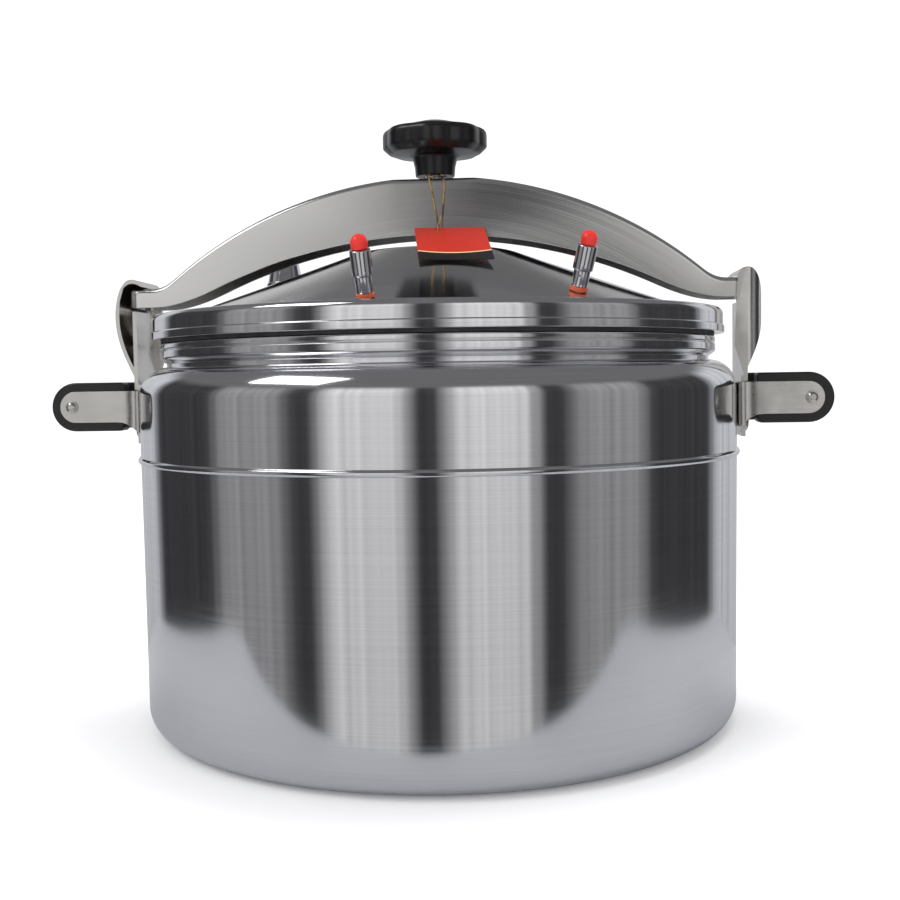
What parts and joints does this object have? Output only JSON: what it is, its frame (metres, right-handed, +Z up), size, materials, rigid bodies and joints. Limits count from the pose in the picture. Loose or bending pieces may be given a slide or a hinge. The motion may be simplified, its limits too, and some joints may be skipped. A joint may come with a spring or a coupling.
{
  "type": "pressure canner",
  "caption": "Deep round aluminium pressure canner with side handles, domed lid, relief valves, vent weight, and a swinging beam with hand screw that clamps the lid.",
  "frame": {"origin": "centre of the pot's flat base, on the surface it stands on", "axes": "+X along the clamp beam towards the right-hand handle, +Y to the back (the vent weight's side), +Z up along the pot's axis"},
  "size_m": [0.5706, 0.4434, 0.443],
  "materials": {
    "spun_aluminium": "brushed, half-bright",
    "polished_lid": "polished",
    "beam_aluminium": "brushed",
    "stainless": "satin",
    "chrome": "polished",
    "brass": "turned",
    "bakelite": "gloss black",
    "gasket_rubber": "matt",
    "red_cap": "gloss red",
    "orange_silicone": "satin",
    "tag_card": "coated card",
    "gold_cord": "metallic thread"
  },
  "bodies": {
    "pot": {"pot_shell": "spun_aluminium", "ear_left": "stainless", "ear_right": "stainless", "ear_rivet_left_1": "stainless", "ear_rivet_left_2": "stainless", "ear_rivet_left_3": "stainless", "ear_rivet_left_4": "stainless", "ear_rivet_right_1": "stainless", "ear_rivet_right_2": "stainless", "ear_rivet_right_3": "stainless", "ear_rivet_right_4": "stainless", "handle_strap_left": "stainless", "handle_grip_left": "bakelite", "handle_screw_left_front": "stainless", "handle_screw_left_back": "stainless", "handle_strap_right": "stainless", "handle_grip_right": "bakelite", "handle_screw_right_front": "stainless", "handle_screw_right_back": "stainless"},
    "lid": {"lid_shell": "polished_lid", "lid_gasket": "gasket_rubber", "relief_valve_1_seal": "orange_silicone", "relief_valve_1_body": "chrome", "relief_valve_1_sleeve": "chrome", "relief_valve_1_spring": "stainless", "relief_valve_1_nut": "brass", "relief_valve_2_seal": "orange_silicone", "relief_valve_2_body": "chrome", "relief_valve_2_sleeve": "chrome", "relief_valve_2_spring": "stainless", "relief_valve_2_nut": "brass", "safety_plug_washer": "orange_silicone", "safety_plug": "brass", "safety_plug_nut": "brass", "vent_washer": "orange_silicone", "vent_pipe": "brass", "vent_nut": "brass", "vent_guard": "stainless"},
    "beam": {"clamp_beam": "beam_aluminium", "beam_bush": "stainless", "tag_string": "gold_cord"},
    "foot": {"pressure_foot": "stainless", "foot_set_screw_1": "stainless", "foot_set_screw_2": "stainless"},
    "screw": {"clamp_screw": "stainless", "knob": "bakelite"},
    "weight": {"vent_weight": "chrome"},
    "valve_1_plunger": {"relief_valve_1_plunger": "brass", "relief_valve_1_cap": "red_cap"},
    "valve_2_plunger": {"relief_valve_2_plunger": "brass", "relief_valve_2_cap": "red_cap"},
    "tag": {"hang_tag": "tag_card"}
  },
  "joints": [
    {"name": "beam_swing", "type": "hinge", "parent": "pot", "child": "beam", "pos_m": [0, 0, 0.39], "axis": [0, 0, 1], "range_deg": [0, 30]},
    {"name": "foot_travel", "type": "slide", "parent": "beam", "child": "foot", "axis": [0, 0, 1], "range_m": [0, 0.01]},
    {"name": "knob_turn", "type": "hinge", "parent": "foot", "child": "screw", "pos_m": [0, 0, 0.4], "axis": [0, 0, 1], "range_deg": [0, 1440]},
    {"name": "lid_turn", "type": "hinge", "parent": "pot", "child": "lid", "pos_m": [0, 0, 0.285], "axis": [0, 0, 1], "range_deg": [-14, 8]},
    {"name": "weight_lift", "type": "slide", "parent": "lid", "child": "weight", "axis": [0, 0, 1], "range_m": [0, 0.02]},
    {"name": "valve_1_lift", "type": "slide", "parent": "lid", "child": "valve_1_plunger", "axis": [-0.0579, -0.3354, 0.9403], "range_m": [0, 0.003], "stiffness_N_per_m": 1500, "springref_m": -0.0035, "deforming": ["relief_valve_1_spring"]},
    {"name": "valve_2_lift", "type": "slide", "parent": "lid", "child": "valve_2_plunger", "axis": [0.2068, -0.2703, 0.9403], "range_m": [0, 0.003], "stiffness_N_per_m": 1500, "springref_m": -0.0035, "deforming": ["relief_valve_2_spring"]},
    {"name": "tag_swing", "type": "hinge", "parent": "beam", "child": "tag", "pos_m": [0.004, -0.03462, 0.35849], "axis": [-1, 0, 0], "range_deg": [0, 20]}
  ],
  "couplings": [
    {"joint": "foot_travel", "follows": "knob_turn", "m_per_rad": 0.00039789}
  ]
}
